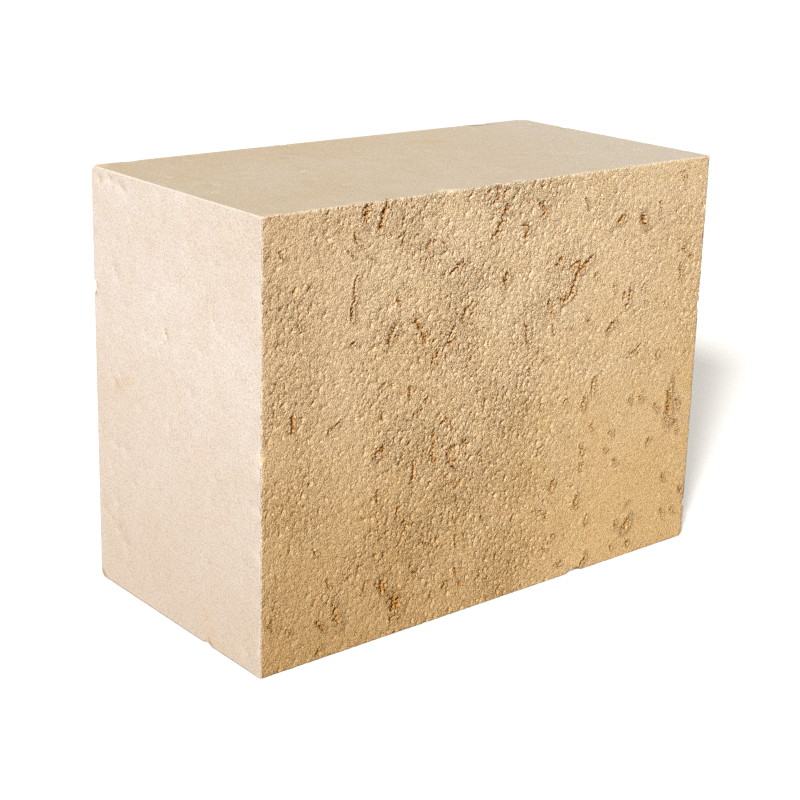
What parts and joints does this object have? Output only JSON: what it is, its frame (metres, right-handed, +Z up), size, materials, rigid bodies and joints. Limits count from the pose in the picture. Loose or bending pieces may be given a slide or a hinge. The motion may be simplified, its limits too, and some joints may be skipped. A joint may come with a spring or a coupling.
{
  "type": "limestone block",
  "caption": "Sawn rectangular block of pale open-pored limestone, one broad face pitted, with lightly worn and chipped edges.",
  "frame": {"origin": "middle of the bottom bed, the face that the block stands on", "axes": "+X along the block's length, +Y from the pitted front face to the back, +Z up"},
  "size_m": [0.4, 0.2, 0.3],
  "materials": {
    "limestone": "matte sawn pale ochre limestone, open-pored and gritty on the broad front face"
  },
  "bodies": {
    "root": {"limestone_block": "limestone"}
  },
  "joints": []
}
